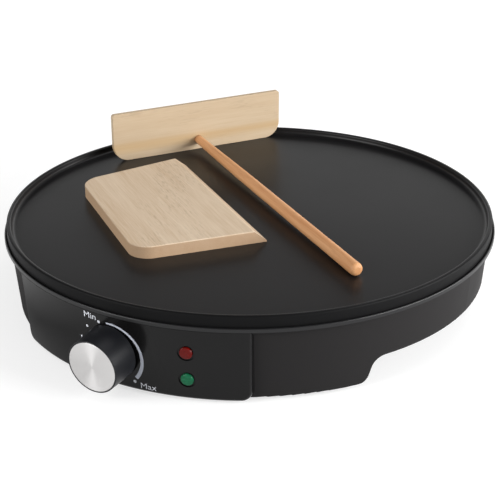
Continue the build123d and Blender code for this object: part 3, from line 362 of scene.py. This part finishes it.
def shade(colour, share):
    """A colour darkened to a share of itself."""
    return (*(share * c for c in colour), 1)


def mixed(material, factor, first, second):
    """Mixes two colours by a factor and returns the colour."""
    sockets = {"Factor": factor, "A": first, "B": second}
    return wire(material, "ShaderNodeMix", sockets, data_type="RGBA").outputs["Result"]


def lens_finish(name, colour):
    """Clear coloured plastic with a diamond-cut back that scatters what light falls in."""
    material, shader = finish(name, colour, roughness=0.18, specular=0.12)
    sockets = {"Vector": place_in(material), "Scale": 900.0}
    cuts = wire(material, "ShaderNodeTexVoronoi", sockets, feature="SMOOTH_F1").outputs[0]
    bumped(material, shader, cuts, depth=0.0002)
    feed(material, mixed(material, cuts, shade(colour, 0.55), (*colour, 1)), shader, "Base Color")
    shader.inputs["Coat Weight"].default_value = 0.05
    shader.inputs["Coat Roughness"].default_value = 0.1
    return material


lens_red = lens_finish("lens_red", (0.160, 0.005, 0.003))
lens_green = lens_finish("lens_green", (0.011, 0.160, 0.070))
dress(lens_red, "lamp_lens_red")
dress(lens_green, "lamp_lens_green")
natural_nylon, nylon_shader = finish("natural_nylon", (0.72, 0.70, 0.62), roughness=0.5)
nylon_shader.inputs["Subsurface Weight"].default_value = 0.15
nylon_shader.inputs["Subsurface Radius"].default_value = (0.003, 0.002, 0.001)
grained(natural_nylon, nylon_shader, size=0.0008, depth=0.00002, rough=(0.42, 0.58))
dress(natural_nylon, "lamp_bodies", "terminal_block")

# ------------------------------------------------------------------------------------------------------ knob
# A hollow black knob with a spun aluminium disc set in its face. It sits on the thermostat's steel shaft,
# held by a spring clip round its hub.
knob_black, knob_shader = finish("knob_black", (0.0085, 0.0090, 0.0110), roughness=0.4, specular=0.2)
grained(knob_black, knob_shader, size=0.0005, depth=0.00001, rough=(0.34, 0.42))
dress(knob_black, "knob")

spun_aluminium, spun_shader = finish("spun_aluminium", (0.62, 0.61, 0.605), roughness=0.38, metallic=1.0)
spun_shader.inputs["Anisotropic"].default_value = 0.8
spun_shader.inputs["Anisotropic Rotation"].default_value = 0.25
spun_tangent = wire(spun_aluminium, "ShaderNodeTangent", direction_type="RADIAL", axis="Y")
feed(spun_aluminium, spun_tangent.outputs[0], spun_shader, "Tangent")
dress(spun_aluminium, "knob_disc")

# ------------------------------------------------------------------------------------------------- fasteners
# Zinc-plated steel, pressed or turned: all screws and washers, the element's straps, the clips, the cut-out's
# case, the knob's shaft and clip, and the lamps' nuts.


def sheet_metal(name, colour, roughness, size):
    """Bare or plated metal with drawing marks and a faint bloom."""
    material, shader = finish(name, colour, roughness, metallic=1.0)
    marks = speckle(material, place_in(material), 1 / size, detail=5.0)
    feed(material, ranged(material, marks, to=(roughness - 0.1, roughness + 0.12)), shader, "Roughness")
    feed(material, mixed(material, marks, shade(colour, 0.75), (*colour, 1)), shader, "Base Color")
    return material


zinc_plate = sheet_metal("zinc_plate", (0.62, 0.63, 0.62), roughness=0.32, size=0.004)
dress(zinc_plate, "plate_screws", "plate_washers", "clamp_screws", "element_clamps", "bulb_clip", "fuse_clip")
dress(zinc_plate, "panel_screws", "thermostat_screws", "cover_screws", "foot_screws", "thermal_fuse")
dress(zinc_plate, "lamp_nuts", "thermostat_shaft", "knob_spring_clip")

# -------------------------------------------------------------------------------------------- heating element
# A stainless steel tube bent to a ring, with a ceramic end and a blade terminal on each of its legs. Steel
# straps clamp it up against the plate.
stainless = sheet_metal("stainless", (0.36, 0.35, 0.33), roughness=0.35, size=0.003)
dress(stainless, "heating_element", "element_tabs")
steatite, steatite_shader = finish("steatite", (0.78, 0.74, 0.66), roughness=0.7)
grained(steatite, steatite_shader, size=0.0005, depth=0.00003, rough=(0.62, 0.78))
dress(steatite, "element_insulators")

# ------------------------------------------------------------------------------------------------ heat shield
# A pan pressed from aluminised steel, between the element and the housing's floor. The four long screws that
# hold plate and housing together go through it.
aluminised = sheet_metal("aluminised", (0.66, 0.66, 0.66), roughness=0.38, size=0.012)
dress(aluminised, "heat_shield")

# ------------------------------------------------------------------------------------------------- thermostat
# Its switch sits in a body of brown phenolic, screwed to the panel behind the knob. A copper capillary tube
# runs from there to the sensor bulb, which is clipped under the plate.
copper = sheet_metal("copper", (0.62, 0.30, 0.18), roughness=0.3, size=0.006)
dress(copper, "capillary_tube", "sensor_bulb")
phenolic, phenolic_shader = finish("phenolic", (0.045, 0.030, 0.020), roughness=0.4)
grained(phenolic, phenolic_shader, size=0.001, depth=0.00002, rough=(0.32, 0.48))
dress(phenolic, "thermostat_body")

# ----------------------------------------------------------------------------------------------------- wiring
# Leads in red-brown silicone run from one terminal to the next. The terminal block's screws and the tag that
# earths the plate are brass.
brass = sheet_metal("brass", (0.60, 0.45, 0.18), roughness=0.3, size=0.004)
dress(brass, "terminal_screws", "earth_tag")
silicone, silicone_shader = finish("silicone", (0.16, 0.055, 0.030), roughness=0.55)
grained(silicone, silicone_shader, size=0.0008, depth=0.00001, rough=(0.5, 0.62))
dress(silicone, "wires")

# ----------------------------------------------------------------------------------------------------- plate
# The round plate is die-cast aluminium under a black non-stick coat, satin on the flat top and duller on the
# lip's outside. Turned bosses and lugs for its screws, the element's straps and the sensor hang under it.
PLATE_R = 0.186
PLATE_TOP = 0.062
PLATE_UNDER = 0.058
UNDER_ROUND = 0.0008
LIP_TOP = 0.0675
LIP_IN = 0.1824
LIP_DRAFT = 0.0002
LIP_ROUND = 0.0016
LIP_FILLET = 0.0030
SIDE_DEPTH = 0.0010
LUG_ROUND = 32
BULB_FORWARD = 0.030
BULB_SCREWS_X = (0.003, 0.021)
# A boss has a reach from the middle, an azimuth from the front, and its kind's radius, bore and foot.
POST_BOSS = (0.006, 0.00255, 0.044)
STRAP_LUG = (0.004, 0.00205, 0.0513)
BULB_LUG = (0.0032, 0.00205, 0.0529)
POST_BOSSES = [(0.120, azimuth, *POST_BOSS) for azimuth in (45, 135, 225, 315)]
STRAP_LUGS = [(reach, azimuth, *STRAP_LUG) for azimuth in (62, 120, 240, 298) for reach in (0.092, 0.118)]
TAG_LUG = (0.066, 240, *STRAP_LUG)
BULB_LUGS = [
    (hypot(x, BULB_FORWARD), degrees(atan2(x, BULB_FORWARD)), *BULB_LUG) for x in BULB_SCREWS_X
]

coat_profile = rounded(
    [
        (0, PLATE_UNDER, 0),
        (PLATE_R, PLATE_UNDER, UNDER_ROUND),
        (PLATE_R, LIP_TOP, LIP_ROUND),
        (LIP_IN, LIP_TOP, LIP_ROUND),
        (LIP_IN - LIP_DRAFT, PLATE_TOP, LIP_FILLET),
        (0, PLATE_TOP, 0),
    ]
)
cast = bmesh.new()
turn(cast, coat_profile, FULL_ROUND, finish_of=lambda r, z: int(r > PLATE_R - SIDE_DEPTH))
for reach, azimuth, outer, bore, foot in (*POST_BOSSES, *STRAP_LUGS, TAG_LUG, *BULB_LUGS):
    middle = (reach * sin(radians(azimuth)), -reach * cos(radians(azimuth)))
    turn(cast, [(outer, PLATE_UNDER), (outer, foot), (bore, foot), (bore, PLATE_UNDER)], LUG_ROUND, middle)

plate_coat, coat_shader = finish("plate_coat", (0.0078, 0.0074, 0.0078), roughness=0.32, specular=0.2)
coat_place = place_in(plate_coat)
coat_fine = speckle(plate_coat, coat_place, scale=1400.0, detail=2.0)
coat_cloud = speckle(plate_coat, coat_place, scale=9.0, detail=5.0)
feed(plate_coat, ranged(plate_coat, coat_cloud, *NOISE_SPAN, to=(0.29, 0.35)), coat_shader, "Roughness")
bumped(plate_coat, coat_shader, coat_fine, depth=0.00002)
side_coat, side_shader = finish("side_coat", (0.0065, 0.0065, 0.0068), roughness=0.5, specular=0.06)
grained(side_coat, side_shader, size=0.0004, depth=0.00004, rough=(0.46, 0.54))
coated_plate = lay("coated_plate", cast, "base", "plate_coating", plate_coat, side_coat)
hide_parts("hot_plate")

# ------------------------------------------------------------------------------------------------------ feet
# Four feet pressed from black rubber. Each is held in its round boss under the floor by a screw through its
# middle, whose head lies too deep in the rubber to scratch the table.
rubber, rubber_shader = finish("rubber", (0.018, 0.018, 0.018), roughness=0.75)
grained(rubber, rubber_shader, size=0.0007, depth=0.00004, rough=(0.7, 0.82))
dress(rubber, "rubber_feet")

# --------------------------------------------------------------------------------------------------- spreader
# A T-shaped batter spreader, sanded and left bare. Its thin pale blade has a streak of heartwood and is glued
# on the end of a redder, tapered dowel, which goes through it. Round the joint the dowel has painted shade.


def maths(material, operation, *values, clamp=False):
    """Reckons with numbers or outputs and returns the result."""
    sockets = dict(enumerate(values))
    return wire(material, "ShaderNodeMath", sockets, operation=operation, use_clamp=clamp).outputs[0]


def sawn_wood(name, heading, pale, dark, figure, flecks, sheen=(0.52, 0.66)):
    """Sanded wood whose grain runs along a heading in degrees from +X.

    Returns the material, its shader, the place along the grain, the colour and the growth rings.
    """
    material, shader = finish(name, pale, roughness=0.6, specular=0.3)
    sockets = {"Vector": place_in(material), "Rotation": (0, 0, -radians(heading))}
    along = wire(material, "ShaderNodeMapping", sockets).outputs[0]

    def strands(scale, detail, rough=0.5):
        """Noise drawn out along the grain, with so many cells to the metre along and across."""
        drawn = wire(material, "ShaderNodeMapping", {"Vector": along, "Scale": scale}).outputs[0]
        return speckle(material, drawn, 1.0, detail, rough)

    streaks = strands((7, 190, 190), 5.0, 0.6)
    fibres = strands((45, 1500, 1500), 3.0)
    rings = strands((2.2, 42, 42), 3.0)
    pores = strands((110, 1100, 1100), 1.0)
    where = strands((9, 26, 26), 2.0)

    # The three noises average a half each. The narrower the span they are read over, the stronger the figure.
    middle, spread = 1.5, 0.42 / figure
    blend = maths(material, "ADD", maths(material, "ADD", streaks, rings), fibres)
    blend = ranged(material, blend, middle - spread, middle + spread)
    colour = mixed(material, blend, (*dark, 1), (*pale, 1))
    patch = ranged(material, where, 0.50, 0.62)
    dash = ranged(material, pores, 0.56, 0.66, to=(0.0, flecks))
    colour = mixed(material, maths(material, "MULTIPLY", patch, dash), colour, shade(dark, 0.5))
    feed(material, colour, shader, "Base Color")
    bumped(material, shader, fibres, depth=0.00008)
    feed(material, ranged(material, streaks, to=sheen), shader, "Roughness")
    return material, shader, along, colour, rings


def tinted(material, shader, colour, mask, tint):
    """Lays a tint over the wood's colour where a mask says. It lays the heartwood's stain and also painted
    shade.
    """
    feed(material, mixed(material, mask, colour, (*tint, 1)), shader, "Base Color")


def hump(material, value, middle, reach, height):
    """Mask that is highest where a value is at its middle and falls to nothing at its reach."""
    off = maths(material, "ABSOLUTE", maths(material, "SUBTRACT", value, middle))
    return ranged(material, off, 0.0, reach, to=(height, 0.0), interpolation_type="SMOOTHSTEP")


def waved(material, value, pattern, depth):
    """Shifts a value by a grain pattern, so that a mask's edge follows the grain."""
    return maths(material, "MULTIPLY_ADD", pattern, depth, value)


blade_wood, blade_shader, blade_along, blade_colour, blade_rings = sawn_wood(
    "blade_wood",
    heading=54.86,
    pale=(0.515, 0.403, 0.275),
    dark=(0.445, 0.326, 0.208),
    figure=0.9,
    flecks=0.25,
)
blade_axes = wire(blade_wood, "ShaderNodeSeparateXYZ", {0: blade_along}).outputs
heartwood = waved(blade_wood, blade_axes["Z"], blade_rings, depth=0.018)
heartwood = hump(blade_wood, heartwood, middle=0.0840, reach=0.0075, height=0.5)
tinted(blade_wood, blade_shader, blade_colour, heartwood, (0.445, 0.279, 0.111))
dress(blade_wood, "spreader_blade")

handle_wood, handle_shader, handle_along, handle_colour, _ = sawn_wood(
    "handle_wood",
    heading=-35.14,
    pale=(0.645, 0.358, 0.176),
    dark=(0.500, 0.223, 0.087),
    figure=1.1,
    flecks=0.35,
    sheen=(0.40, 0.52),
)
handle_axes = wire(handle_wood, "ShaderNodeSeparateXYZ", {0: handle_along}).outputs
# Painted shade: the dowel is darkened round its joint with the blade, where the blade shades it.
joint_shade = hump(handle_wood, handle_axes["X"], middle=-0.1500, reach=0.0060, height=0.7)
tinted(handle_wood, handle_shader, handle_colour, joint_shade, (0.20, 0.085, 0.035))
dress(handle_wood, "spreader_handle")

# ---------------------------------------------------------------------------------------------------- spatula
# A flat turner cut from one pale board, with one long edge planed down to a thin lip. It is sanded and left
# bare. Every side face is tinted darker by the way it faces: end grain at the ends, and painted shade
# along the long edges.
spatula_wood, spatula_shader, _, spatula_colour, _ = sawn_wood(
    "spatula_wood",
    heading=-36.65,
    pale=(0.64, 0.517, 0.384),
    dark=(0.50, 0.365, 0.242),
    figure=1.1,
    flecks=0.3,
)
# Upright faces are tinted darker by their facing: end grain at the ends, painted shade on the long edges.
end_grain_and_side_shade = wire(spatula_wood, "ShaderNodeNewGeometry").outputs["Normal"]
end_grain_and_side_shade = wire(spatula_wood, "ShaderNodeSeparateXYZ", {0: end_grain_and_side_shade}).outputs["Z"]
end_grain_and_side_shade = hump(spatula_wood, end_grain_and_side_shade, middle=0.0, reach=0.5, height=0.75)
tinted(spatula_wood, spatula_shader, spatula_colour, end_grain_and_side_shade, (0.41, 0.26, 0.15))
dress(spatula_wood, "spatula")

# ------------------------------------------------------------------------------------------------------ table
# A plain white table, as white far off as the surround. In mirror images it is darker close to the machine on
# its left, where the machine shades it from the lights on the right.
WHITE = (1, 1, 1, 1)
TABLE_R = 6.0
TABLE_COLOUR = (0.48, 0.48, 0.48, 1)
TABLE_GLOW = 0.62
FAR_FROM, FAR_TO = 0.5, 1.3
LEE_X, LIT_X = -0.12, 0.0
LEE_R, LIT_R = 0.21, 0.255

white_table = bpy.data.materials.new("white_table")
white_table.use_nodes = True
white_table.node_tree.nodes.clear()
table_out = wire(white_table, "ShaderNodeOutputMaterial")
table_path = wire(white_table, "ShaderNodeLightPath").outputs
mirrored = maths(
    white_table, "ADD", table_path["Is Glossy Ray"], table_path["Is Transmission Ray"], clamp=True
)
table_place = place_in(white_table)
table_axes = wire(white_table, "ShaderNodeSeparateXYZ", {0: table_place}).outputs
table_reach = wire(white_table, "ShaderNodeVectorMath", {0: table_place}, operation="LENGTH").outputs["Value"]
lit_side = ranged(white_table, table_axes["X"], LEE_X, LIT_X)
lit_reach = ranged(white_table, table_reach, LEE_R, LIT_R)
lit = maths(white_table, "MAXIMUM", lit_side, lit_reach)
seen = maths(white_table, "MULTIPLY_ADD", mirrored, lit, table_path["Is Camera Ray"])
far_glow = ranged(white_table, table_reach, FAR_FROM, FAR_TO, to=(TABLE_GLOW, 1.0))
glow_level = maths(white_table, "MULTIPLY", seen, far_glow)
glow = wire(white_table, "ShaderNodeEmission", {"Color": WHITE, "Strength": glow_level})
matt = wire(white_table, "ShaderNodeBsdfDiffuse", {"Color": TABLE_COLOUR})
both = wire(white_table, "ShaderNodeAddShader", {0: glow.outputs[0], 1: matt.outputs[0]})
white_table.node_tree.links.new(both.outputs[0], table_out.inputs["Surface"])

table_form = bmesh.new()
bmesh.ops.create_circle(table_form, cap_ends=True, radius=TABLE_R, segments=96)
table = placed("table", table_form, white_table)

# --------------------------------------------------------------------------------------------------- surround
# Plain white to the eye, but darker in mirror images above the horizon, where a room has walls and a ceiling.
# There it shines with DIM_FLOOR + DIM_SPAN * exp(DIM_START - DIM_RATE * height), at most 1, and to the right
# of RIGHT_OF with RIGHT_GAIN times that. AMBIENT is the light that it gives to matt surfaces.
AMBIENT = 0.35
DIM_START, DIM_RATE = 12.03, 37.0
DIM_SPAN, DIM_FLOOR = 0.89, 0.10
LEFT_OF, RIGHT_OF = -0.54, -0.32
RIGHT_GAIN = 1.2

studio = bpy.data.worlds.new("studio")
bpy.context.scene.world = studio
studio.use_nodes = True
studio.node_tree.nodes.clear()
world_out = wire(studio, "ShaderNodeOutputWorld")
world_path = wire(studio, "ShaderNodeLightPath").outputs
compass = wire(studio, "ShaderNodeTexCoord").outputs["Generated"]
compass = wire(studio, "ShaderNodeSeparateXYZ", {0: compass}).outputs
level = maths(studio, "MULTIPLY_ADD", compass["Z"], -DIM_RATE, DIM_START)
level = maths(studio, "EXPONENT", level)
level = maths(studio, "MULTIPLY_ADD", level, DIM_SPAN, DIM_FLOOR, clamp=True)
side = ranged(studio, compass["X"], LEFT_OF, RIGHT_OF, to=(1.0, RIGHT_GAIN))
level = maths(studio, "MULTIPLY", level, side)
level = maths(studio, "MAXIMUM", level, world_path["Is Camera Ray"])
backdrop = wire(studio, "ShaderNodeBackground", {"Color": WHITE, "Strength": level})
ambient = wire(studio, "ShaderNodeBackground", {"Color": WHITE, "Strength": AMBIENT})
looked_at = maths(studio, "ADD", world_path["Is Camera Ray"], world_path["Is Glossy Ray"])
looked_at = maths(studio, "ADD", looked_at, world_path["Is Transmission Ray"], clamp=True)
surround = wire(
    studio, "ShaderNodeMixShader", {0: looked_at, 1: ambient.outputs[0], 2: backdrop.outputs[0]}
)
studio.node_tree.links.new(surround.outputs[0], world_out.inputs["Surface"])

# ----------------------------------------------------------------------------------------------------- lights
# Two broad soft lights low on the right, a weaker one at the left front and a faint one high behind. All are
# aimed at a point a little under the middle of the plate.
AIM = Vector((0, 0, 0.05))


def softbox(name, place, size, watts):
    """Rectangular soft light aimed at the machine."""
    lamp = bpy.data.lights.new(name, "AREA")
    lamp.shape = "RECTANGLE"
    lamp.size, lamp.size_y = size
    lamp.energy = watts
    box = bpy.data.objects.new(name, lamp)
    box.location = place
    box.rotation_euler = (AIM - Vector(place)).to_track_quat("-Z", "Y").to_euler()
    bpy.context.scene.collection.objects.link(box)


softbox("right_light", (1.835, 0.0, 0.542), size=(1.0, 0.8), watts=36.0)
softbox("right_rear_light", (1.589, 0.918, 0.542), size=(1.0, 0.8), watts=26.0)
softbox("left_front_light", (-0.881, -1.525, 0.762), size=(1.0, 0.8), watts=22.0)
softbox("rear_light", (0.35, 0.75, 1.35), size=(1.0, 0.6), watts=3.5)

# ----------------------------------------------------------------------------------------------------- camera
# It stands in front of the machine and to the right of it, and looks down on it from about half a metre up,
# with a long lens.
CAMERA_AT = (0.4885, -0.8326, 0.4707)
CAMERA_LOOK = (-0.4602, 0.7847, -0.4153)
CAMERA_UP = (-0.2023, 0.3628, 0.9096)
lens = bpy.data.cameras.new("camera")
lens.sensor_width = 36.0
lens.lens = 97.2
camera = bpy.data.objects.new("camera", lens)
ahead = Vector(CAMERA_LOOK).normalized()
rightwards = ahead.cross(Vector(CAMERA_UP)).normalized()
upwards = rightwards.cross(ahead)
stance = Matrix((rightwards, upwards, -ahead)).transposed().to_4x4()
camera.matrix_world = Matrix.Translation(CAMERA_AT) @ stance
bpy.context.scene.collection.objects.link(camera)
bpy.context.scene.camera = camera
